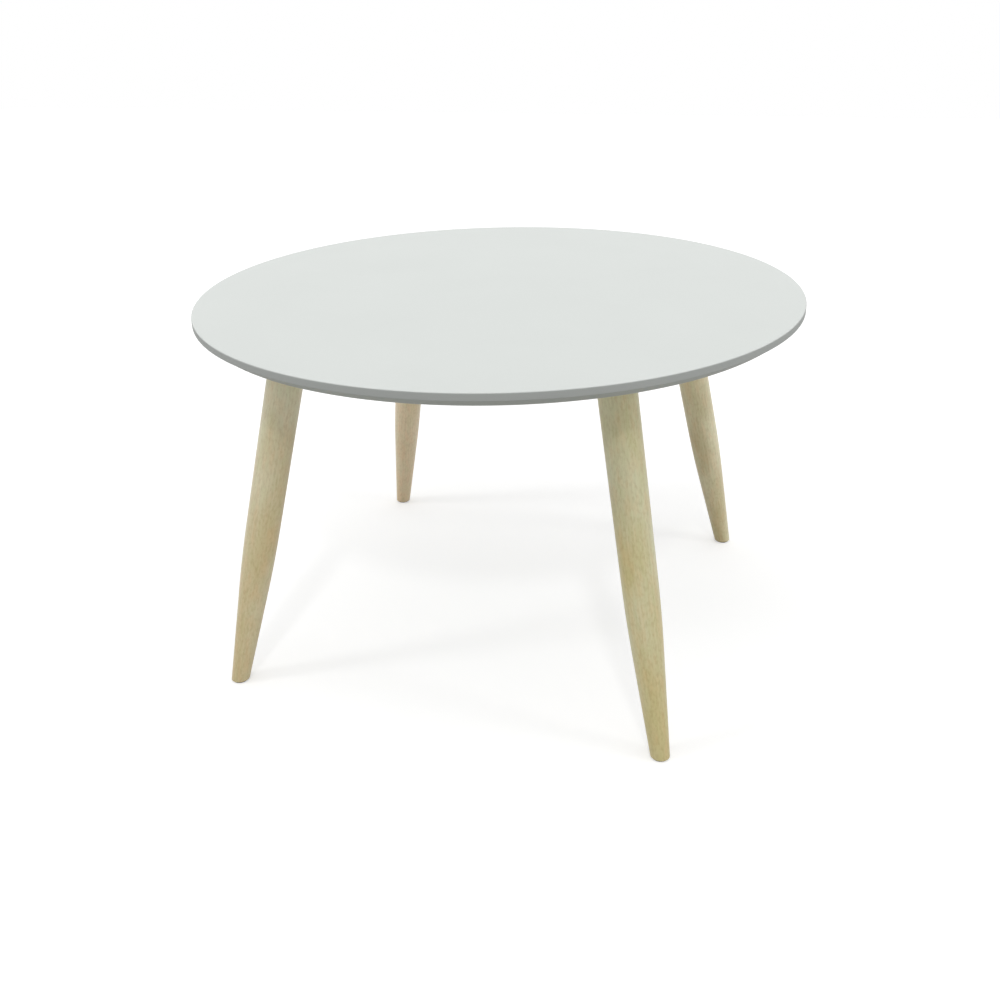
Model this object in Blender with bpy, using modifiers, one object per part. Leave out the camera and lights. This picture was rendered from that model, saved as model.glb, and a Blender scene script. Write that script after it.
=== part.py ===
"""Round side table: a painted board carried by four turned legs that splay outwards.

Metres, +Z up. The origin is on the floor under the middle of the board, and the legs stand on the
diagonals. Each leg is screwed by a hanger bolt to an angled steel plate under the board.

Two local frames are used at each leg. The corner frame lies where the leg's axis meets the board's
underside, with X pointing outwards and Z up. The axis frame has the same origin and is tilted by the
splay, so that its Z runs up the leg's axis.
"""

import math

import bmesh
import bpy
from mathutils import Matrix, Vector

MM = 0.001

# Board
TABLE_HEIGHT = 460 * MM
TOP_DIAMETER = 750 * MM
TOP_THICKNESS = 18 * MM
EDGE_BAND = 8.5 * MM  # upright part of the edge, above the bevel
BEVEL_INSET = 13 * MM  # how far the bevel runs in under the board
TOP_ARRIS = 1.5 * MM
BEVEL_ARRIS = 1 * MM

# Legs
LEG_SPLAY = math.radians(15)
LEG_SEAT_RADIUS = 270 * MM  # from the middle of the table to the origin of a corner frame
LEG_TOP_DIAMETER = 44 * MM
LEG_SHOULDER_DIAMETER = 41 * MM
LEG_FOOT_DIAMETER = 22.4 * MM
LEG_TAPER_LENGTH = 172 * MM  # from the floor up to the shoulder, along the axis
LEG_SHOULDER_RADIUS = 1750 * MM
LEG_ARRIS = 1.5 * MM

# Pads under the feet
PAD_THICKNESS = 1.5 * MM
PAD_INSET = 1.5 * MM

# Angled mounting plates
PLATE_THICKNESS = 2.5 * MM
PLATE_CORNER_RADIUS = 6 * MM
BOSS_REVEAL = 2 * MM  # how far the leg's top stands out past the boss
FLANGE_WIDTH = 12 * MM

# M8 hanger bolts and their nuts
BOLT_DIAMETER = 8 * MM
BOLT_CHAMFER = 1 * MM
BOLT_POINT = 8 * MM
BOLT_TIP_DIAMETER = 2 * MM
BOLT_WOOD_LENGTH = 45 * MM
BOLT_PROJECTION = 2 * MM  # how far the bolt stands out of the nut
BOLT_HEADROOM = 4.7 * MM  # from the bolt's end to the board
NUT_WIDTH = 13 * MM  # across flats
NUT_HEIGHT = 6.5 * MM

# Countersunk 4 mm screws through the plates
SCREW_DIAMETER = 4 * MM
SCREW_HEAD_DIAMETER = 8 * MM
SCREW_HEAD_RIM = 0.4 * MM
SCREW_POINT = 4 * MM
SCREW_EDGE_DISTANCE = 8 * MM  # from a screw's axis to the plate's edge
SCREW_COVER = 4.8 * MM  # board left above a screw's tip

# Clearances and mesh settings
FIT_GAP = 0.3 * MM
CUT_MARGIN = 5 * MM  # how far a cutter runs past what it cuts
MERGE_DISTANCE = 0.01 * MM
SHARP_ANGLE = math.radians(30)
ARC_STEPS = 3
CORNER_STEPS = 3
TOP_STEPS = 96
LEG_STEPS = 32
BOSS_STEPS = 24
PAD_STEPS = 24
BOLT_STEPS = 16
SCREW_STEPS = 12
HEXAGON_SIDES = 6

# Sizes that follow from those above
UNDERSIDE_HEIGHT = TABLE_HEIGHT - TOP_THICKNESS
BOSS_DIAMETER = LEG_TOP_DIAMETER - 2 * BOSS_REVEAL
BOSS_DEPTH = PLATE_THICKNESS + FIT_GAP + NUT_HEIGHT + BOLT_PROJECTION + BOLT_HEADROOM
PLATE_SIDE = BOSS_DIAMETER + 2 * FLANGE_WIDTH
PLATE_FACE = -FIT_GAP - PLATE_THICKNESS  # height of a plate's lower face in the corner frame
BOSS_FLOOR = PLATE_THICKNESS - BOSS_DEPTH  # inner face of the boss, in the axis frame
LEG_SEAT = -BOSS_DEPTH - FIT_GAP  # top face of a leg, in the axis frame
PAD_DIAMETER = LEG_FOOT_DIAMETER - 2 * PAD_INSET
BOLT_HOLE_DIAMETER = BOLT_DIAMETER + 2 * FIT_GAP
SCREW_LENGTH = PLATE_THICKNESS + FIT_GAP + TOP_THICKNESS - SCREW_COVER

CORNER_AZIMUTHS = {"front_left": -135, "front_right": -45, "rear_right": 45, "rear_left": 135}


def srgb(red, green, blue):
    """A linear colour from 8-bit sRGB values."""
    shares = [value / 255 for value in (red, green, blue)]
    linear = [s / 12.92 if s <= 0.04045 else ((s + 0.055) / 1.055) ** 2.4 for s in shares]
    return (*linear, 1.0)


def new_material(name, colour, roughness, metallic=0.0):
    material = bpy.data.materials.new(name)
    material.use_nodes = True
    shader = material.node_tree.nodes["Principled BSDF"]
    shader.inputs["Base Color"].default_value = colour
    shader.inputs["Roughness"].default_value = roughness
    shader.inputs["Metallic"].default_value = metallic
    return material


def new_collection(name):
    collection = bpy.data.collections.new(name)
    bpy.context.scene.collection.children.link(collection)
    return collection


def add_object(name, mesh, collection, parent=None, location=(0, 0, 0), tilt=0.0):
    obj = bpy.data.objects.new(name, mesh)
    collection.objects.link(obj)
    obj.parent = parent
    obj.location = location
    obj.rotation_euler = (0, tilt, 0)
    return obj


def add_blank(name, mesh, location=(0, 0, 0), tilt=0.0, parent=None):
    """A piece of work or a cutter: it stays out of renders and is removed at the end."""
    blank = add_object(name + "_blank", mesh, workshop, parent, location, tilt)
    blank.hide_render = True
    blank.display_type = "WIRE"
    return blank


def rounded(corners):
    """Points of an outline through (radius, height, fillet) corners, with an arc at each fillet."""
    spots = [Vector(corner[:2]) for corner in corners]
    points = []
    for i, (spot, (_, _, fillet)) in enumerate(zip(spots, corners)):
        if not fillet:
            points.append(spot)
            continue
        back = spots[i - 1] - spot
        ahead = spots[i + 1] - spot
        half_angle = back.angle(ahead) / 2
        reach = min(fillet / math.tan(half_angle), back.length / 2, ahead.length / 2)
        middle = (back.normalized() + ahead.normalized()).normalized()
        centre = spot + middle * reach / math.cos(half_angle)
        start = spot + back.normalized() * reach - centre
        turn = math.copysign(math.pi - 2 * half_angle, ahead.cross(back))
        for step in range(ARC_STEPS + 1):
            points.append(centre + Matrix.Rotation(turn * step / ARC_STEPS, 2) @ start)
    return points


def turned(name, profile, steps, tilt=0.0):
    """A solid of revolution about Z, from (radius, height) points listed from top to bottom."""
    outline = bpy.data.meshes.new(name)
    edges = [(i, i + 1) for i in range(len(profile) - 1)]
    outline.from_pydata([(radius, 0, height) for radius, height in profile], edges, [])
    blank = add_blank(name, outline, tilt=tilt)
    screw = blank.modifiers.new("Turn", "SCREW")
    screw.steps = steps
    screw.render_steps = steps
    screw.use_merge_vertices = True
    screw.merge_threshold = MERGE_DISTANCE
    return blank


def cylinder(name, diameter, bottom, top, steps, tilt=0.0):
    """An upright cylinder, or a prism if it has few steps, between two heights."""
    mesh = bpy.data.meshes.new(name)
    bm = bmesh.new()
    bmesh.ops.create_cone(
        bm,
        cap_ends=True,
        segments=steps,
        radius1=diameter / 2,
        radius2=diameter / 2,
        depth=top - bottom,
        matrix=Matrix.Translation((0, 0, (bottom + top) / 2)),
    )
    bm.to_mesh(mesh)
    bm.free()
    return add_blank(name, mesh, tilt=tilt)


def block(name, side, bottom, top, across=0.0, corner_radius=0.0):
    """A square block between two heights, centred at X = across, with its upright edges rounded."""
    mesh = bpy.data.meshes.new(name)
    bm = bmesh.new()
    size = Matrix.Diagonal((side, side, top - bottom, 1))
    bmesh.ops.create_cube(bm, matrix=Matrix.Translation((across, 0, (bottom + top) / 2)) @ size)
    if corner_radius:
        upright = [e for e in bm.edges if abs(e.verts[0].co.z - e.verts[1].co.z) > MERGE_DISTANCE]
        bmesh.ops.bevel(
            bm, geom=upright, offset=corner_radius, segments=CORNER_STEPS, profile=0.5, affect="EDGES"
        )
    bm.to_mesh(mesh)
    bm.free()
    return add_blank(name, mesh)


def combine(body, operation, *tools):
    for tool in tools:
        boolean = body.modifiers.new(tool.name, "BOOLEAN")
        boolean.operation = operation
        boolean.solver = "EXACT"
        boolean.object = tool


def finished(blank, material=None):
    """The blank's mesh with its modifiers applied, smooth between its sharp edges."""
    graph = bpy.context.evaluated_depsgraph_get()
    mesh = bpy.data.meshes.new_from_object(blank.evaluated_get(graph))
    mesh.shade_smooth()
    mesh.set_sharp_from_angle(angle=SHARP_ANGLE)
    if material:
        mesh.materials.append(material)
    return mesh


def screw_spots():
    """Where the heads of a plate's screws lie, in the corner frame."""
    reach = PLATE_SIDE / 2 - SCREW_EDGE_DISTANCE
    return [(x * reach, y * reach, PLATE_FACE) for x in (-1, 1) for y in (-1, 1)]


def screw_hole_mesh():
    """The space of a plate screw, from its head's face up: a countersink and a bore for its shank."""
    head = SCREW_HEAD_DIAMETER / 2 + FIT_GAP
    shank = SCREW_DIAMETER / 2 + FIT_GAP
    end = SCREW_LENGTH + FIT_GAP
    profile = [
        (0, end),
        (shank, end),
        (shank, SCREW_HEAD_RIM + head - shank),
        (head, SCREW_HEAD_RIM),
        (head, -CUT_MARGIN),
        (0, -CUT_MARGIN),
    ]
    return finished(turned("screw_hole", profile, SCREW_STEPS))


def table_top_mesh(corner_frames, screw_hole, material):
    radius = TOP_DIAMETER / 2
    profile = rounded(
        [
            (0, TABLE_HEIGHT, 0),
            (radius, TABLE_HEIGHT, TOP_ARRIS),
            (radius, TABLE_HEIGHT - EDGE_BAND, BEVEL_ARRIS),
            (radius - BEVEL_INSET, UNDERSIDE_HEIGHT, BEVEL_ARRIS),
            (0, UNDERSIDE_HEIGHT, 0),
        ]
    )
    blank = turned("table_top", profile, TOP_STEPS)
    for frame in corner_frames.values():
        pilots = [add_blank("pilot_hole", screw_hole, spot, parent=frame) for spot in screw_spots()]
        combine(blank, "DIFFERENCE", *pilots)
    return finished(blank, material)


def leg_mesh(material):
    """A leg in its axis frame, with its foot cut level and a bore for the hanger bolt."""
    floor = -UNDERSIDE_HEIGHT / math.cos(LEG_SPLAY)
    foot_radius = LEG_FOOT_DIAMETER / 2
    shoulder_radius = LEG_SHOULDER_DIAMETER / 2
    overrun = LEG_FOOT_DIAMETER * math.tan(LEG_SPLAY)
    end_radius = foot_radius - overrun * (shoulder_radius - foot_radius) / LEG_TAPER_LENGTH
    profile = rounded(
        [
            (0, LEG_SEAT, 0),
            (LEG_TOP_DIAMETER / 2, LEG_SEAT, LEG_ARRIS),
            (shoulder_radius, floor + LEG_TAPER_LENGTH, LEG_SHOULDER_RADIUS),
            (end_radius, floor - overrun, 0),
            (0, floor - overrun, 0),
        ]
    )
    blank = turned("leg", profile, LEG_STEPS, tilt=-LEG_SPLAY)
    level = PAD_THICKNESS + FIT_GAP - UNDERSIDE_HEIGHT
    below = block(
        "floor_cut",
        side=3 * LEG_FOOT_DIAMETER,
        bottom=level - 2 * LEG_FOOT_DIAMETER,
        top=level,
        across=UNDERSIDE_HEIGHT * math.tan(LEG_SPLAY),
    )
    bore_end = LEG_SEAT - BOLT_WOOD_LENGTH - FIT_GAP
    bore = cylinder(
        "bolt_bore", BOLT_HOLE_DIAMETER, bore_end, LEG_SEAT + CUT_MARGIN, BOLT_STEPS, tilt=-LEG_SPLAY
    )
    combine(blank, "DIFFERENCE", below, bore)
    return finished(blank, material)


def foot_pad_mesh(material):
    """A pad in a frame on the floor."""
    return finished(cylinder("foot_pad", PAD_DIAMETER, 0, PAD_THICKNESS, PAD_STEPS), material)


def mounting_plate_mesh(screw_hole, material):
    """A plate in its corner frame: a square flange with a hollow boss cut square to the leg."""
    flange = block("mounting_plate", PLATE_SIDE, PLATE_FACE, -FIT_GAP, corner_radius=PLATE_CORNER_RADIUS)
    boss_top = BOSS_DIAMETER * math.tan(LEG_SPLAY)
    hollow_top = boss_top + CUT_MARGIN
    boss = cylinder("boss", BOSS_DIAMETER, -BOSS_DEPTH, boss_top, BOSS_STEPS, tilt=-LEG_SPLAY)
    board = block("board_space", 2 * PLATE_SIDE, -FIT_GAP, PLATE_SIDE)
    hollow = cylinder(
        "boss_hollow",
        BOSS_DIAMETER - 2 * PLATE_THICKNESS,
        BOSS_FLOOR,
        hollow_top,
        BOSS_STEPS,
        tilt=-LEG_SPLAY,
    )
    bolt_hole = cylinder(
        "bolt_hole",
        BOLT_HOLE_DIAMETER,
        -BOSS_DEPTH - CUT_MARGIN,
        BOSS_FLOOR + CUT_MARGIN,
        BOLT_STEPS,
        tilt=-LEG_SPLAY,
    )
    screw_holes = [add_blank("plate_hole", screw_hole, spot) for spot in screw_spots()]
    combine(flange, "UNION", boss)
    combine(flange, "DIFFERENCE", board, hollow, bolt_hole, *screw_holes)
    return finished(flange, material)


def plate_nut_mesh(material):
    """A hexagon nut in the axis frame, on the floor of the boss."""
    base = BOSS_FLOOR + FIT_GAP
    across_corners = NUT_WIDTH / math.cos(math.pi / HEXAGON_SIDES)
    nut = cylinder("plate_nut", across_corners, base, base + NUT_HEIGHT, HEXAGON_SIDES)
    bore = cylinder(
        "nut_bore", BOLT_HOLE_DIAMETER, base - CUT_MARGIN, base + NUT_HEIGHT + CUT_MARGIN, BOLT_STEPS
    )
    combine(nut, "DIFFERENCE", bore)
    return finished(nut, material)


def hanger_bolt_mesh(material):
    """A hanger bolt in the axis frame, from its end above the nut down to its point in the leg."""
    radius = BOLT_DIAMETER / 2
    end = BOSS_FLOOR + FIT_GAP + NUT_HEIGHT + BOLT_PROJECTION
    point = LEG_SEAT - BOLT_WOOD_LENGTH
    profile = [
        (0, end),
        (radius - BOLT_CHAMFER, end),
        (radius, end - BOLT_CHAMFER),
        (radius, point + BOLT_POINT),
        (BOLT_TIP_DIAMETER / 2, point),
        (0, point),
    ]
    return finished(turned("hanger_bolt", profile, BOLT_STEPS), material)


def plate_screw_mesh(material):
    """A countersunk screw pointing up, with its head's face at height 0."""
    head = SCREW_HEAD_DIAMETER / 2
    shank = SCREW_DIAMETER / 2
    profile = [
        (0, SCREW_LENGTH),
        (shank, SCREW_LENGTH - SCREW_POINT),
        (shank, SCREW_HEAD_RIM + head - shank),
        (head, SCREW_HEAD_RIM),
        (head, 0),
        (0, 0),
    ]
    return finished(turned("plate_screw", profile, SCREW_STEPS), material)


def corner_frame(name, azimuth):
    frame = bpy.data.objects.new("corner_" + name, None)
    parts.objects.link(frame)
    across = Matrix.Rotation(azimuth, 3, "Z") @ Vector((LEG_SEAT_RADIUS, 0, 0))
    frame.location = across + Vector((0, 0, UNDERSIDE_HEIGHT))
    frame.rotation_euler = (0, 0, azimuth)
    return frame


for obj in list(bpy.data.objects):
    bpy.data.objects.remove(obj)

parts = new_collection("round_side_table")
workshop = new_collection("round_side_table_cutters")

paint = new_material("grey_paint", srgb(213, 217, 214), roughness=0.55)
wood = new_material("pale_wood", srgb(200, 189, 144), roughness=0.45)
felt = new_material("dark_felt", srgb(62, 60, 55), roughness=0.95)
plate_steel = new_material("plate_steel", srgb(176, 178, 180), roughness=0.38, metallic=1.0)
fastener_steel = new_material("fastener_steel", srgb(196, 197, 196), roughness=0.3, metallic=1.0)

frames = {name: corner_frame(name, math.radians(degrees)) for name, degrees in CORNER_AZIMUTHS.items()}
screw_space = screw_hole_mesh()
add_object("table_top", table_top_mesh(frames, screw_space, paint), parts)

leg = leg_mesh(wood)
foot_pad = foot_pad_mesh(felt)
mounting_plate = mounting_plate_mesh(screw_space, plate_steel)
plate_nut = plate_nut_mesh(fastener_steel)
hanger_bolt = hanger_bolt_mesh(fastener_steel)
plate_screw = plate_screw_mesh(fastener_steel)

pad_spot = ((UNDERSIDE_HEIGHT - PAD_THICKNESS) * math.tan(LEG_SPLAY), 0, -UNDERSIDE_HEIGHT)
for corner, frame in frames.items():
    add_object("leg_" + corner, leg, parts, frame, tilt=-LEG_SPLAY)
    add_object("foot_pad_" + corner, foot_pad, parts, frame, pad_spot)
    add_object("mounting_plate_" + corner, mounting_plate, parts, frame)
    add_object("plate_nut_" + corner, plate_nut, parts, frame, tilt=-LEG_SPLAY)
    add_object("hanger_bolt_" + corner, hanger_bolt, parts, frame, tilt=-LEG_SPLAY)
    for number, spot in enumerate(screw_spots(), 1):
        add_object(f"plate_screw_{corner}_{number}", plate_screw, parts, frame, spot)

for blank in list(workshop.objects):
    bpy.data.objects.remove(blank)
bpy.data.collections.remove(workshop)
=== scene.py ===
"""The looks of a round side table: a satin-painted board on turned legs of pale wood.

Metres, +Z up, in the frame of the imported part. The board, legs, pads, plates and screws are
remodelled here with eased edges and finer curves, each in the place of its solid. The nuts and
bolts inside the plates keep their solids and get a finish.

Two local frames are used at each leg. The corner frame lies where the leg's axis meets the board's
underside, with X pointing outwards and Z up. The axis frame has the same origin and is tilted by
the splay, so that its Z runs up the leg's axis.
"""

import math

import bpy
from mathutils import Matrix, Vector


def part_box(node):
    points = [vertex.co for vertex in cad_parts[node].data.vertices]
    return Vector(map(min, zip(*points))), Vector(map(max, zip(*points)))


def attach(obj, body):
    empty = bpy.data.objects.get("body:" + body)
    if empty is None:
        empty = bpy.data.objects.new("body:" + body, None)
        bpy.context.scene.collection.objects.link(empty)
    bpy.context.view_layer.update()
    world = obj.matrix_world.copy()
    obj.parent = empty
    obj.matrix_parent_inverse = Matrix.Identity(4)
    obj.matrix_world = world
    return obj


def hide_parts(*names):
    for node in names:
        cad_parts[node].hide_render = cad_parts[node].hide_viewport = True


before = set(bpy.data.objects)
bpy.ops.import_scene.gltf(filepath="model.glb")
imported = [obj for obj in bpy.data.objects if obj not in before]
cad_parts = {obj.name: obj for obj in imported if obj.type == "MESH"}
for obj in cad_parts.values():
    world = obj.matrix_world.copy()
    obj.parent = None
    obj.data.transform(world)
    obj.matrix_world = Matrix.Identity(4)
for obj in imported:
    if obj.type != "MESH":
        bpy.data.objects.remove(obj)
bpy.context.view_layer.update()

MM = 0.001
BODY = "root"
CORNER_AZIMUTHS = {"front_left": -135, "front_right": -45, "rear_right": 45, "rear_left": 135}
BOARD_LOW, BOARD_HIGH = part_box("table_top")
FIT_GAP = 0.3 * MM  # between the hardware and what it fits

# Board
BOARD_RADIUS = BOARD_HIGH.x
BOARD_TOP = BOARD_HIGH.z
BOARD_UNDERSIDE = BOARD_LOW.z
EDGE_BAND = 8.5 * MM  # upright part of the edge, above the bevel
BEVEL_INSET = 13 * MM
BOARD_TOP_ARRIS = 1.5 * MM
BEVEL_ARRIS = 1 * MM

# Legs
LEG_SPLAY = math.radians(15)
LEG_SEAT_RADIUS = 270 * MM  # from the middle of the table to the origin of a corner frame
LEG_SEAT = -16.3 * MM  # a leg's top face in its axis frame
LEG_TOP_RADIUS = 22 * MM
LEG_SHOULDER_RADIUS = 20.5 * MM
LEG_FOOT_RADIUS = 11.2 * MM  # at the floor
LEG_TAPER_LENGTH = 172 * MM
LEG_SHOULDER_FILLET = 1750 * MM
LEG_TOP_ARRIS = 1.5 * MM
LEG_FOOT_ARRIS = 0.6 * MM
LEG_BORE_DEPTH = 45.3 * MM  # for the hanger bolt

# Felt pads
PAD_RADIUS = 9.7 * MM
PAD_THICKNESS = 1.8 * MM  # enough to meet the foot
PAD_SOFT_EDGE = 0.6 * MM

# Pressed plates
PLATE_THICKNESS = 2.5 * MM
PLATE_HIGH = -FIT_GAP  # the upper and lower face in the corner frame
PLATE_LOW = -FIT_GAP - PLATE_THICKNESS
PLATE_HALF_SIDE = 32 * MM
PLATE_CORNER_RADIUS = 6 * MM
PLATE_EDGE = 0.5 * MM  # easing of the flange's edge
BOSS_RADIUS = 20 * MM
BOSS_DEPTH = 16 * MM
BOSS_EDGE = 2.2 * MM
BOSS_FILLET = 2.5 * MM
BOLT_HOLE_RADIUS = 4.3 * MM

# Countersunk screws
SCREW_HEAD_RADIUS = 4 * MM
SCREW_SHANK_RADIUS = 2 * MM
SCREW_HEAD_RIM = 0.4 * MM
SCREW_LENGTH = 16 * MM
SCREW_POINT = 4 * MM
SCREW_REACH = 24 * MM  # from the plate's middle to a screw, along X and along Y
SCREW_TURN = math.radians(37)  # how much further each screw is turned than the one before
RECESS_REACH = 2.3 * MM
RECESS_HALF_WIDTH = 0.45 * MM
RECESS_DEPTH = 1.7 * MM
RECESS_TAPER = 0.45  # the recess's size at its bottom, as a share of its opening

# Mesh settings
ARC_STEPS = 8
SUPPORT = 1 * MM  # a ring this far from a fillet keeps the flat beside it flat
BOARD_STEPS = 256
LEG_STEPS = 96
LEG_TAPER_RINGS = 24
PAD_STEPS = 72
PLATE_STEPS = 128
SCREW_STEPS = 32
SHARP_ANGLE = math.radians(35)  # edges that turn more than this aren't shaded smooth


def corner_frame(degrees):
    """The place of a corner frame in the table."""
    turn = Matrix.Rotation(math.radians(degrees), 4, "Z")
    return turn @ Matrix.Translation((LEG_SEAT_RADIUS, 0, BOARD_UNDERSIDE))


def tilted(point):
    """A point of the axis frame in the corner frame."""
    return Matrix.Rotation(-LEG_SPLAY, 3, "Y") @ point


def screw_spots():
    """Where the heads of a plate's screws lie, in the corner frame."""
    sides = (-1, 1)
    return [Vector((x * SCREW_REACH, y * SCREW_REACH, PLATE_LOW)) for x in sides for y in sides]


# Mesh tools


def angles(steps):
    return [2 * math.pi * i / steps for i in range(steps)]


def polar(radius, angle, height):
    return Vector((radius * math.cos(angle), radius * math.sin(angle), height))


def circle(radius, height, steps):
    return [polar(radius, angle, height) for angle in angles(steps)]


def rounded(corners):
    """Points on straight runs between (radius, height, fillet) corners, with arcs for fillets."""
    spots = [Vector(corner[:2]) for corner in corners]
    points = []
    for i, (spot, (_, _, fillet)) in enumerate(zip(spots, corners)):
        if not fillet:
            points.append(spot)
            continue
        back = spots[i - 1] - spot
        ahead = spots[i + 1] - spot
        half_angle = back.angle(ahead) / 2
        reach = fillet / math.tan(half_angle)
        middle = (back.normalized() + ahead.normalized()).normalized()
        centre = spot + middle * reach / math.cos(half_angle)
        start = spot + back.normalized() * reach - centre
        turn = math.copysign(math.pi - 2 * half_angle, ahead.cross(back))
        points.append(spot + back.normalized() * (reach + SUPPORT))
        for step in range(ARC_STEPS + 1):
            points.append(centre + Matrix.Rotation(turn * step / ARC_STEPS, 2) @ start)
        points.append(spot + ahead.normalized() * (reach + SUPPORT))
    return points


def bent(start, corner, end):
    """Points along a smooth bend from start to end that would meet at the corner."""
    shares = [step / ARC_STEPS for step in range(ARC_STEPS + 1)]
    return [start * (1 - t) ** 2 + corner * 2 * t * (1 - t) + end * t**2 for t in shares]


def loft(name, rings, closed=False):
    """A closed mesh through rings of points, capped at both ends or joined from last to first."""
    steps = len(rings[0])
    points = [point for ring in rings for point in ring]
    faces = []
    for i in range(len(rings) if closed else len(rings) - 1):
        upper = i * steps
        lower = (i + 1) % len(rings) * steps
        for j in range(steps):
            k = (j + 1) % steps
            faces.append((upper + j, lower + j, lower + k, upper + k))
    if not closed:
        faces.append(range(steps))
        faces.append(range(len(points) - 1, len(points) - 1 - steps, -1))
    mesh = bpy.data.meshes.new(name)
    mesh.from_pydata(points, [], faces)
    mesh.shade_smooth()
    mesh.set_sharp_from_angle(angle=SHARP_ANGLE)
    return mesh


def lathe(name, profile, steps):
    """A solid of revolution about Z from (radius, height) points, listed from top to bottom."""
    return loft(name, [circle(radius, height, steps) for radius, height in profile])


def cut(mesh, cutters):
    """The mesh with the cutters' space taken out of it. Each cutter is a (mesh, place) pair."""
    body = bpy.data.objects.new(mesh.name, mesh)
    bpy.context.scene.collection.objects.link(body)
    tools = []
    for cutter, place in cutters:
        tool = bpy.data.objects.new(cutter.name, cutter)
        bpy.context.scene.collection.objects.link(tool)
        tool.location = place
        boolean = body.modifiers.new(cutter.name, "BOOLEAN")
        boolean.operation = "DIFFERENCE"
        boolean.solver = "EXACT"
        boolean.object = tool
        tools.append(tool)
    graph = bpy.context.evaluated_depsgraph_get()
    result = bpy.data.meshes.new_from_object(body.evaluated_get(graph))
    result.name = mesh.name
    result.shade_smooth()
    result.set_sharp_from_angle(angle=SHARP_ANGLE)
    for obj in (body, *tools):
        bpy.data.objects.remove(obj)
    return result


# Meshes


def board_mesh():
    """The board in place, with a pilot hole for each screw."""
    profile = rounded(
        [
            (BOARD_RADIUS / 2, BOARD_TOP, 0),
            (BOARD_RADIUS, BOARD_TOP, BOARD_TOP_ARRIS),
            (BOARD_RADIUS, BOARD_TOP - EDGE_BAND, BEVEL_ARRIS),
            (BOARD_RADIUS - BEVEL_INSET, BOARD_UNDERSIDE, BEVEL_ARRIS),
            (BOARD_RADIUS / 2, BOARD_UNDERSIDE, 0),
        ]
    )
    blank = lathe("painted_board", profile, BOARD_STEPS)
    bore = SCREW_SHANK_RADIUS + FIT_GAP
    pilot = lathe("pilot_hole", [(bore, SCREW_LENGTH + FIT_GAP), (bore, 0)], SCREW_STEPS)
    places = [corner_frame(degrees) for degrees in CORNER_AZIMUTHS.values()]
    return cut(blank, [(pilot, place @ spot) for place in places for spot in screw_spots()])


def leg_mesh():
    """A leg in its corner frame: bored for its bolt, soft at the shoulder and level at the foot."""
    floor = -BOARD_UNDERSIDE / math.cos(LEG_SPLAY)
    shoulder = floor + LEG_TAPER_LENGTH
    slope = (LEG_SHOULDER_RADIUS - LEG_FOOT_RADIUS) / LEG_TAPER_LENGTH
    profile = rounded(
        [
            (BOLT_HOLE_RADIUS, LEG_SEAT - LEG_BORE_DEPTH, 0),
            (BOLT_HOLE_RADIUS, LEG_SEAT, 0),
            (LEG_TOP_RADIUS, LEG_SEAT, LEG_TOP_ARRIS),
            (LEG_SHOULDER_RADIUS, shoulder, LEG_SHOULDER_FILLET),
            (LEG_FOOT_RADIUS, floor, 0),
        ]
    )[:-1]
    rings = [circle(radius, height, LEG_STEPS) for radius, height in profile]
    start = profile[-1].y
    shares = [(i + 1) / LEG_TAPER_RINGS for i in range(LEG_TAPER_RINGS)]
    level = (PAD_THICKNESS - BOARD_UNDERSIDE) / math.cos(LEG_SPLAY)
    middle = Vector((0, 0, level))

    def on_taper(angle, height):
        return polar(LEG_FOOT_RADIUS + (height - floor) * slope, angle, height)

    strips = []
    for angle in angles(LEG_STEPS):
        lean = math.tan(LEG_SPLAY) * math.cos(angle)
        foot = (level - lean * (LEG_FOOT_RADIUS - floor * slope)) / (1 + lean * slope)
        end = foot + LEG_FOOT_ARRIS
        strip = [on_taper(angle, start + (end - start) * share) for share in shares]
        rim = on_taper(angle, foot)
        inner = rim + (middle - rim).normalized() * LEG_FOOT_ARRIS
        strip += bent(strip[-1], rim, inner)[1:]
        strip.append(inner + (middle - inner).normalized() * SUPPORT)
        strips.append(strip)
    rings += [list(ring) for ring in zip(*strips)]
    return loft("turned_leg", [[tilted(point) for point in ring] for ring in rings])


def pad_mesh():
    """A felt pad in a frame on the floor."""
    profile = rounded(
        [
            (PAD_RADIUS / 2, PAD_THICKNESS, 0),
            (PAD_RADIUS, PAD_THICKNESS, PAD_SOFT_EDGE),
            (PAD_RADIUS, 0, PAD_SOFT_EDGE),
            (PAD_RADIUS / 2, 0, 0),
        ]
    )
    return lathe("felt_pad", profile, PAD_STEPS)


def on_boss(radius, angle, height):
    """A point given in the axis frame, as it lies in the corner frame."""
    return tilted(polar(radius, angle, height))


def boss_height_at(radius, angle, level):
    """The height in the axis frame where a line up the boss reaches a level of the corner frame."""
    return level / math.cos(LEG_SPLAY) - radius * math.cos(angle) * math.tan(LEG_SPLAY)


def flange_point(angle, inset, level):
    """A point on the rounded square outline of the flange, moved in by inset."""
    half = PLATE_HALF_SIDE - inset
    corner = PLATE_CORNER_RADIUS - inset
    ray = Vector((math.cos(angle), math.sin(angle)))
    reach = half / max(abs(ray.x), abs(ray.y))
    if min(abs(ray.x), abs(ray.y)) * reach > half - corner:
        centre = Vector((math.copysign(half - corner, ray.x), math.copysign(half - corner, ray.y)))
        along = ray.dot(centre)
        reach = along + math.sqrt(along**2 - centre.length_squared + corner**2)
    return Vector((*(ray * reach), level))


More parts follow.
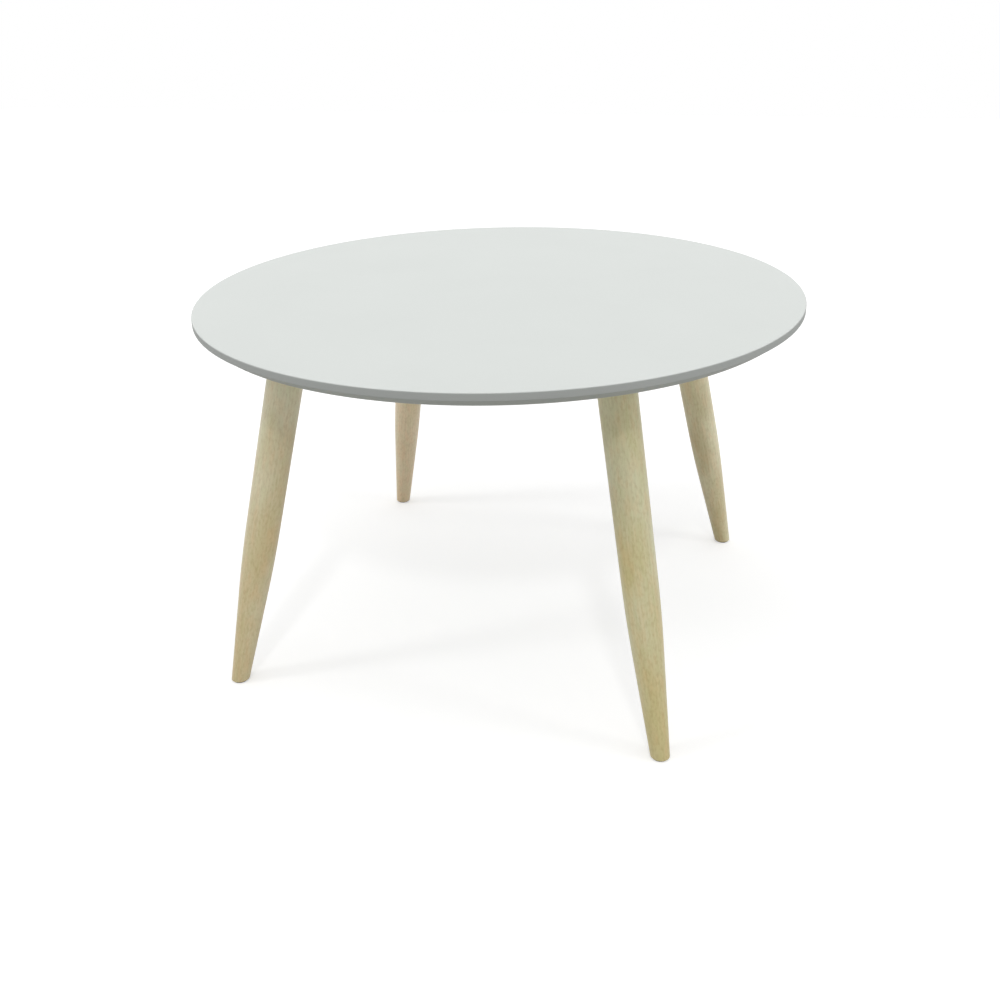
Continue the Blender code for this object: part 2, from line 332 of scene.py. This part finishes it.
def plate_strip(angle):
    """One line round a plate's section: under the boss, out over the flange and back inside."""
    boss_floor = PLATE_THICKNESS - BOSS_DEPTH
    hollow = BOSS_RADIUS - PLATE_THICKNESS
    edge_start = on_boss(BOSS_RADIUS - BOSS_EDGE, angle, -BOSS_DEPTH)
    edge_end = on_boss(BOSS_RADIUS, angle, BOSS_EDGE - BOSS_DEPTH)
    meet = boss_height_at(BOSS_RADIUS, angle, PLATE_LOW)
    junction = on_boss(BOSS_RADIUS, angle, meet)
    fillet_start = on_boss(BOSS_RADIUS, angle, meet - BOSS_FILLET)
    rim = flange_point(angle, PLATE_EDGE, PLATE_LOW)
    outwards = (rim - junction).normalized()
    strip = [on_boss(BOLT_HOLE_RADIUS, angle, -BOSS_DEPTH)]
    strip.append(on_boss(BOSS_RADIUS - BOSS_EDGE - SUPPORT, angle, -BOSS_DEPTH))
    strip += bent(edge_start, on_boss(BOSS_RADIUS, angle, -BOSS_DEPTH), edge_end)
    strip += bent(fillet_start, junction, junction + outwards * BOSS_FILLET)
    strip.append(junction + outwards * (BOSS_FILLET + SUPPORT))
    strip.append(rim - outwards * SUPPORT)
    strip += bent(
        rim,
        flange_point(angle, 0, PLATE_LOW),
        flange_point(angle, 0, PLATE_LOW + PLATE_EDGE),
    )
    strip += bent(
        flange_point(angle, 0, PLATE_HIGH - PLATE_EDGE),
        flange_point(angle, 0, PLATE_HIGH),
        flange_point(angle, PLATE_EDGE, PLATE_HIGH),
    )
    strip.append(on_boss(hollow, angle, boss_height_at(hollow, angle, PLATE_HIGH)))
    strip.append(on_boss(hollow, angle, boss_floor))
    strip.append(on_boss(BOLT_HOLE_RADIUS, angle, boss_floor))
    return strip


def plate_mesh():
    """A pressed plate in its corner frame, with countersunk holes."""
    strips = [plate_strip(angle) for angle in angles(PLATE_STEPS)]
    blank = loft("pressed_plate", [list(ring) for ring in zip(*strips)], closed=True)
    head = SCREW_HEAD_RADIUS + FIT_GAP
    shank = SCREW_SHANK_RADIUS + FIT_GAP
    countersink = lathe(
        "countersink",
        [
            (shank, PLATE_THICKNESS + SUPPORT),
            (shank, SCREW_HEAD_RIM + head - shank),
            (head, SCREW_HEAD_RIM),
            (head, -SUPPORT),
        ],
        SCREW_STEPS,
    )
    return cut(blank, [(countersink, spot) for spot in screw_spots()])


def screw_mesh():
    """A countersunk screw pointing up, with a cross recess in its head's face at height 0."""
    head = SCREW_HEAD_RADIUS
    shank = SCREW_SHANK_RADIUS
    easing = SCREW_HEAD_RIM / 2
    blank = lathe(
        "countersunk_screw",
        [
            (easing, SCREW_LENGTH),
            (shank, SCREW_LENGTH - SCREW_POINT),
            (shank, SCREW_HEAD_RIM + head - shank),
            (head, SCREW_HEAD_RIM),
            (head, easing),
            (head - easing, 0),
        ],
        SCREW_STEPS,
    )
    arm = [
        (RECESS_HALF_WIDTH, RECESS_HALF_WIDTH),
        (RECESS_REACH, RECESS_HALF_WIDTH),
        (RECESS_REACH, -RECESS_HALF_WIDTH),
    ]
    outline = []
    for quarter in range(4):
        turn = Matrix.Rotation(-quarter * math.pi / 2, 2)
        outline += [turn @ Vector(point) for point in arm]
    rings = []
    for height, scale in ((RECESS_DEPTH, RECESS_TAPER), (0, 1), (-SUPPORT, 1)):
        rings.append([Vector((*(point * scale), height)) for point in reversed(outline)])
    return cut(blank, [(loft("recess", rings), Vector())])


# Shader tools

NOISE_SPAN = (0.3, 0.7)  # nearly all of a noise's values lie in here
NOISE_CORE = (0.35, 0.65)  # and most of them in here


def srgb(red, green, blue):
    """A linear colour from 8-bit sRGB values."""
    shares = [value / 255 for value in (red, green, blue)]
    linear = [s / 12.92 if s <= 0.04045 else ((s + 0.055) / 1.055) ** 2.4 for s in shares]
    return (*linear, 1.0)


def new_surface(name):
    """A new material, its node tree and its shader."""
    material = bpy.data.materials.new(name)
    material.use_nodes = True
    return material, material.node_tree, material.node_tree.nodes["Principled BSDF"]


def add_node(tree, kind, inputs, **settings):
    """A node whose inputs are set by name, or linked where the value is another node's output."""
    node = tree.nodes.new("ShaderNode" + kind)
    for name, value in settings.items():
        setattr(node, name, value)
    for name, value in inputs.items():
        if isinstance(value, bpy.types.NodeSocket):
            tree.links.new(value, node.inputs[name])
        else:
            node.inputs[name].default_value = value
    return node


def coordinates(tree, stretch=(1, 1, 1), shift=(0, 0, 0), tilt=0.0):
    """The piece's own coordinates in a shifted and tilted frame, drawn out along its axes."""
    own = tree.nodes.new("ShaderNodeTexCoord").outputs["Object"]
    inputs = {"Vector": own, "Location": shift, "Rotation": (0, tilt, 0), "Scale": stretch}
    return add_node(tree, "Mapping", inputs, vector_type="TEXTURE").outputs["Vector"]


def separate(tree, vector):
    return add_node(tree, "SeparateXYZ", {"Vector": vector}).outputs


def compute(tree, operation, *values):
    return add_node(tree, "Math", dict(enumerate(values)), operation=operation).outputs[0]


def noise(tree, vector, scale, detail=3.0, roughness=0.5):
    inputs = {"Vector": vector, "Scale": scale, "Detail": detail, "Roughness": roughness}
    return add_node(tree, "TexNoise", inputs).outputs["Fac"]


def remap(tree, value, low, high, to_low=0.0, to_high=1.0, smooth=False):
    spans = {"From Min": low, "From Max": high, "To Min": to_low, "To Max": to_high}
    curve = "SMOOTHSTEP" if smooth else "LINEAR"
    node = add_node(tree, "MapRange", {"Value": value, **spans}, interpolation_type=curve)
    return node.outputs["Result"]


def mix(tree, factor, first, second, blend="MIX"):
    """Two colours mixed by a factor. The Mix node's colour sockets are reached by number."""
    inputs = {0: factor, 6: first, 7: second}
    return add_node(tree, "Mix", inputs, data_type="RGBA", blend_type=blend).outputs[2]


def bump(tree, shader, height, distance):
    normal = add_node(tree, "Bump", {"Height": height, "Distance": distance}).outputs["Normal"]
    tree.links.new(normal, shader.inputs["Normal"])


# Paint

FACE_TONES = (srgb(211, 215, 212), srgb(215, 219, 216))  # each pair is mixed by a mottle
# the edge's tones are a darker coat and partly painted shade; the bevel's are mostly painted shade
EDGE_PAINT_AND_SHADE_TONES = (srgb(156, 159, 156), srgb(161, 164, 161))
BEVEL_PAINT_AND_SHADE_TONES = (srgb(143, 146, 140), srgb(148, 151, 144))
UNDERSIDE_TONES = (srgb(181, 183, 178), srgb(193, 195, 190))
PAINT_MOTTLE_SCALE = 9
UNDERSIDE_MOTTLE_SCALE = 60
ROLLER_SCALE = 420
ROLLER_RELIEF = 0.03 * MM
FACE_ROUGHNESS = (0.52, 0.62)
DULL_ROUGHNESS = 0.7  # of the edge, bevel and underside


def paint_material():
    """Satin grey paint with a soft mottle and a fine roller texture.

    The edge is a darker coat than the face and partly painted shade; the bevel is darker again,
    as painted shade for its downward face. The underside has a darker primer, and all three
    are duller.
    """
    material, tree, shader = new_surface("satin_paint")
    own = coordinates(tree)
    mottle = noise(tree, own, PAINT_MOTTLE_SCALE)
    roller = noise(tree, own, ROLLER_SCALE, detail=2)
    face = mix(tree, mottle, *FACE_TONES)
    edge = mix(tree, mottle, *EDGE_PAINT_AND_SHADE_TONES)
    bevel = mix(tree, mottle, *BEVEL_PAINT_AND_SHADE_TONES)
    underside = mix(tree, noise(tree, own, UNDERSIDE_MOTTLE_SCALE, detail=5), *UNDERSIDE_TONES)
    height = separate(tree, own)["Z"]
    band_low = BOARD_TOP - EDGE_BAND
    on_bevel = remap(tree, height, BOARD_UNDERSIDE, BOARD_UNDERSIDE + BEVEL_ARRIS / 2)
    on_band = remap(tree, height, band_low - BEVEL_ARRIS, band_low + BEVEL_ARRIS, smooth=True)
    on_face = remap(tree, height, BOARD_TOP - BOARD_TOP_ARRIS, BOARD_TOP, smooth=True)
    # painted shade: the bevel, and partly the edge, are mixed in darker than the face
    colour = mix(tree, on_bevel, underside, bevel)
    colour = mix(tree, on_band, colour, edge)
    colour = mix(tree, on_face, colour, face)
    tree.links.new(colour, shader.inputs["Base Color"])
    satin = remap(tree, roller, *NOISE_SPAN, *FACE_ROUGHNESS)
    roughness = remap(tree, on_face, 0, 1, DULL_ROUGHNESS, satin)
    tree.links.new(roughness, shader.inputs["Roughness"])
    bump(tree, shader, roller, ROLLER_RELIEF)
    return material


# Wood

# the rear legs' tones are lighter than the front legs', partly as painted light under the board
WOODS = {  # by leg: the heart's side in degrees from outwards, then the pale and the ochre tone
    "front_left": (153, srgb(220, 214, 183), srgb(203, 187, 143)),
    "front_right": (243, srgb(212, 210, 176), srgb(201, 188, 136)),
    "rear_right": (153, srgb(236, 229, 195), srgb(197, 183, 138)),
    "rear_left": (243, srgb(239, 226, 196), srgb(230, 211, 175)),
}
PITH_DISTANCE = 70 * MM  # from a leg's axis to the heart of the tree
FIRST_CUT = 25  # where along the tree, in metres, the first leg was cut; the next follow 1 m apart
PALE_AND_LIT_SIDE_RUN = 5  # how far down the pale runs for each step away from the heart, towards the lit side: partly painted light
# the pale tops and ochre feet are partly painted light, paler where the board shades the legs
WOOD_TOP = -120 * MM  # heights on the axis, in the corner frame, between which pale turns to ochre
WOOD_FOOT = -320 * MM
PALEST_SHARES = (-0.1, 0.45)  # of ochre at WOOD_TOP and at WOOD_FOOT, in the palest clouds
DEEPEST_SHARES = (0.5, 1.15)  # and in the deepest clouds
RINGS = {"Scale": 75, "Distortion": 2.5, "Detail": 2.0}  # growth rings about 4 mm apart
GRAIN_STRETCH = 25
ENDLESS_STRETCH = 1e6  # leaves only the distance from the heart's line
WOOD_NOISES = {  # stretch along the leg, scale and detail
    "fibres": (GRAIN_STRETCH, 500, 4),
    "flecks": (2.5, 420, 3),
    "clouds": (2.5, 24, 2),
    "patches": (3, 130, 2),
}
STAINS = (  # pattern, the values where the tint starts and where it is full, full share, tint
    ("patches", 0.5, 0.65, 1, (1.035, 0.985, 0.965, 1)),
    ("patches", 0.5, 0.35, 1, (0.975, 1.0, 0.97, 1)),
    ("rings", 0.2, 1, 0.16, (0.80, 0.74, 0.64, 1)),
    ("fibres", 0.35, 0.65, 0.4, (0.90, 0.87, 0.82, 1)),
    ("flecks", 0.45, 0.72, 0.6, (0.80, 0.74, 0.66, 1)),
)
WOOD_ROUGHNESS = (0.36, 0.48)
WOOD_SHEEN = 0.12
FIBRE_RELIEF = 0.04 * MM


def wood_material(corner, cut_at):
    """Turned hardwood under a satin lacquer, with growth rings, fibres and flecks along the leg.

    The wood is pale at the top and turns ochre lower down, later on the side away from the heart,
    which faces a side lamp. This is partly the wood's own tone and partly painted light: a paler
    lit outer side, and paler tops where the board shades the legs.
    """
    material, tree, shader = new_surface("pale_wood_" + corner)
    heart_side, pale, ochre = WOODS[corner]
    turn = Matrix.Rotation(math.radians(heart_side), 3, "Z")
    heart = tilted(turn @ Vector((PITH_DISTANCE, 0, cut_at)))

    def from_heart(stretch):
        return coordinates(tree, (1, 1, stretch), heart, -LEG_SPLAY)

    patterns = {}
    for name, (stretch, scale, detail) in WOOD_NOISES.items():
        patterns[name] = noise(tree, from_heart(stretch), scale, detail)
    patterns["rings"] = add_node(
        tree,
        "TexWave",
        {"Vector": from_heart(GRAIN_STRETCH), **RINGS},
        wave_type="RINGS",
        rings_direction="Z",
        wave_profile="SAW",
    ).outputs["Fac"]
    offset = from_heart(ENDLESS_STRETCH)
    distance = add_node(tree, "VectorMath", {0: offset}, operation="LENGTH").outputs["Value"]
    own_height = separate(tree, coordinates(tree))["Z"]
    # painted light: the pale runs lower on the side away from the heart, the leg's lit outer side
    height = compute(tree, "MULTIPLY_ADD", distance, PALE_AND_LIT_SIDE_RUN, own_height)
    top = WOOD_TOP + PALE_AND_LIT_SIDE_RUN * PITH_DISTANCE
    foot = WOOD_FOOT + PALE_AND_LIT_SIDE_RUN * PITH_DISTANCE
    palest = remap(tree, height, top, foot, *PALEST_SHARES)
    deepest = remap(tree, height, top, foot, *DEEPEST_SHARES)
    colour = mix(tree, remap(tree, patterns["clouds"], *NOISE_CORE, palest, deepest), pale, ochre)
    for name, start, full, share, tint in STAINS:
        stained = mix(tree, 1.0, colour, tint, "MULTIPLY")
        colour = mix(tree, remap(tree, patterns[name], start, full, 0, share), colour, stained)
    tree.links.new(colour, shader.inputs["Base Color"])
    roughness = remap(tree, patterns["fibres"], *NOISE_SPAN, *WOOD_ROUGHNESS)
    tree.links.new(roughness, shader.inputs["Roughness"])
    shader.inputs["Sheen Weight"].default_value = WOOD_SHEEN
    bump(tree, shader, patterns["fibres"], FIBRE_RELIEF)
    return material


# Felt

FELT_TONES = (srgb(48, 46, 42), srgb(78, 75, 68))
FELT_SCALE = 1800
FELT_ROUGHNESS = 0.95
FELT_SHEEN = 0.25
FELT_RELIEF = 0.3 * MM


def felt_material():
    """Dark pressed felt."""
    material, tree, shader = new_surface("dark_felt")
    fibres = noise(tree, coordinates(tree), FELT_SCALE, detail=4, roughness=0.7)
    colour = mix(tree, remap(tree, fibres, *NOISE_SPAN), *FELT_TONES)
    tree.links.new(colour, shader.inputs["Base Color"])
    shader.inputs["Roughness"].default_value = FELT_ROUGHNESS
    shader.inputs["Sheen Weight"].default_value = FELT_SHEEN
    bump(tree, shader, fibres, FELT_RELIEF)
    return material


# Zinc

PLATE_TONES = (srgb(166, 169, 172), srgb(186, 188, 188))
PLATE_MOTTLE_SCALE = 160
FASTENER_TONES = (srgb(186, 188, 186), srgb(206, 207, 204))
FASTENER_MOTTLE_SCALE = 400
SCUFF_STRETCH = 12
SCUFF_SCALE = 2500
SCUFF_RELIEF = 0.01 * MM
ZINC_ROUGHNESS = (0.28, 0.44)


def zinc_material(name, tones, mottle_scale):
    """Zinc plate on steel, mottled and a little scuffed."""
    material, tree, shader = new_surface(name)
    mottle = noise(tree, coordinates(tree), mottle_scale)
    scuffs = noise(tree, coordinates(tree, (1, SCUFF_STRETCH, 1)), SCUFF_SCALE, detail=2)
    colour = mix(tree, remap(tree, mottle, *NOISE_CORE), *tones)
    tree.links.new(colour, shader.inputs["Base Color"])
    roughness = remap(tree, mottle, *NOISE_SPAN, *ZINC_ROUGHNESS)
    tree.links.new(roughness, shader.inputs["Roughness"])
    shader.inputs["Metallic"].default_value = 1.0
    bump(tree, shader, scuffs, SCUFF_RELIEF)
    return material


# Pieces


def add_piece(name, mesh, material, place, node):
    """A piece that stands for a CAD node."""
    piece = bpy.data.objects.new(name, mesh)
    bpy.context.scene.collection.objects.link(piece)
    piece.matrix_world = place
    piece.data.materials.clear()
    piece.data.materials.append(material)
    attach(piece, BODY)
    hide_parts(node)


plate_zinc = zinc_material("plate_zinc", PLATE_TONES, PLATE_MOTTLE_SCALE)
fastener_zinc = zinc_material("fastener_zinc", FASTENER_TONES, FASTENER_MOTTLE_SCALE)
felt = felt_material()

add_piece("painted_board", board_mesh(), paint_material(), Matrix(), "table_top")

pad = pad_mesh()
plate = plate_mesh()
screw = screw_mesh()
spots = screw_spots()
for index, (corner, degrees) in enumerate(CORNER_AZIMUTHS.items()):
    place = corner_frame(degrees)
    wood = wood_material(corner, FIRST_CUT + index)
    add_piece("turned_leg_" + corner, leg_mesh(), wood, place, "leg_" + corner)
    pad_low, pad_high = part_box("foot_pad_" + corner)
    pad_place = Matrix.Translation(((pad_low.x + pad_high.x) / 2, (pad_low.y + pad_high.y) / 2, 0))
    add_piece("felt_pad_" + corner, pad, felt, pad_place, "foot_pad_" + corner)
    add_piece(
        "pressed_plate_" + corner,
        plate,
        plate_zinc,
        place,
        "mounting_plate_" + corner,
    )
    for number, spot in enumerate(spots, 1):
        turn = Matrix.Rotation(SCREW_TURN * (index * len(spots) + number), 4, "Z")
        add_piece(
            f"countersunk_screw_{corner}_{number}",
            screw,
            fastener_zinc,
            place @ Matrix.Translation(spot) @ turn,
            f"plate_screw_{corner}_{number}",
        )
    for kind in ("plate_nut_", "hanger_bolt_"):
        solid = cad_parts[kind + corner]
        solid.data.materials.clear()
        solid.data.materials.append(fastener_zinc)


# Stage

FLOOR_SIZE = 12.0
FLOOR_HEIGHT = -0.1 * MM  # just clear of the pads' undersides
FLOOR_COLOUR = 0.72
FLOOR_ROUGHNESS = 0.9
FLOOR_GLOW = 0.44  # for the camera and reflections only, so that the lit floor is white
HORIZON_LIGHT = 0.45  # the sky's strength at the horizon and below; it fades to none overhead
LAMPS = {  # strength in W/m2, then in degrees how wide it looks, its azimuth and its elevation
    "overhead": (2.03, 110, 0, 90),
    "right": (0.48, 14, -3, 20),
    "left": (0.45, 12, -150, 36),
    "front": (0.38, 5, -72, 46),
}
CAMERA_PLACE = (0.41615, -1.25138, 0.80756)
CAMERA_HEADING = math.radians(18.587)  # anticlockwise from +Y
CAMERA_DOWN = math.radians(25.984)
CAMERA_ROLL = math.radians(1.472)  # clockwise
CAMERA_LENS = 38.285  # in millimetres, as the sensor's width is
CAMERA_SENSOR = 36


def seen_directly(tree):
    """1 for camera, glossy and transmission rays and 0 for the rays that light the object."""
    path = tree.nodes.new("ShaderNodeLightPath").outputs
    seen = compute(tree, "MAXIMUM", path["Is Camera Ray"], path["Is Glossy Ray"])
    return compute(tree, "MAXIMUM", seen, path["Is Transmission Ray"])


def add_floor():
    half = FLOOR_SIZE / 2
    mesh = bpy.data.meshes.new("floor")
    corners = [(-half, -half), (half, -half), (half, half), (-half, half)]
    mesh.from_pydata([(x, y, FLOOR_HEIGHT) for x, y in corners], [], [(0, 1, 2, 3)])
    floor = bpy.data.objects.new("floor", mesh)
    bpy.context.scene.collection.objects.link(floor)
    material, tree, shader = new_surface("pale_floor")
    shader.inputs["Base Color"].default_value = (FLOOR_COLOUR, FLOOR_COLOUR, FLOOR_COLOUR, 1)
    shader.inputs["Roughness"].default_value = FLOOR_ROUGHNESS
    shader.inputs["Specular IOR Level"].default_value = 0.0
    shader.inputs["Emission Color"].default_value = (1, 1, 1, 1)
    glow = compute(tree, "MULTIPLY", seen_directly(tree), FLOOR_GLOW)
    tree.links.new(glow, shader.inputs["Emission Strength"])
    mesh.materials.append(material)


def add_sky():
    """Soft light from around, and plain white for the camera and reflections."""
    world = bpy.data.worlds.new("studio")
    world.use_nodes = True
    tree = world.node_tree
    direction = tree.nodes.new("ShaderNodeTexCoord").outputs["Generated"]
    light = remap(tree, separate(tree, direction)["Z"], 0, 1, HORIZON_LIGHT, 0)
    strength = remap(tree, seen_directly(tree), 0, 1, light, 1)
    background = tree.nodes["Background"]
    background.inputs["Color"].default_value = (1, 1, 1, 1)
    tree.links.new(strength, background.inputs["Strength"])
    bpy.context.scene.world = world


def add_lamps():
    for name, (strength, width, azimuth, elevation) in LAMPS.items():
        lamp = bpy.data.lights.new(name, "SUN")
        lamp.energy = strength
        lamp.angle = math.radians(width)
        stand = bpy.data.objects.new(name, lamp)
        bpy.context.scene.collection.objects.link(stand)
        turn = Matrix.Rotation(math.radians(azimuth), 4, "Z")
        stand.matrix_world = turn @ Matrix.Rotation(math.radians(90 - elevation), 4, "Y")


def add_camera():
    data = bpy.data.cameras.new("camera")
    data.lens = CAMERA_LENS
    data.sensor_width = CAMERA_SENSOR
    camera = bpy.data.objects.new("camera", data)
    bpy.context.scene.collection.objects.link(camera)
    camera.matrix_world = (
        Matrix.Translation(CAMERA_PLACE)
        @ Matrix.Rotation(CAMERA_HEADING, 4, "Z")
        @ Matrix.Rotation(math.pi / 2 - CAMERA_DOWN, 4, "X")
        @ Matrix.Rotation(-CAMERA_ROLL, 4, "Z")
    )
    bpy.context.scene.camera = camera


add_floor()
add_sky()
add_lamps()
add_camera()
bpy.context.scene.view_settings.view_transform = "Standard"
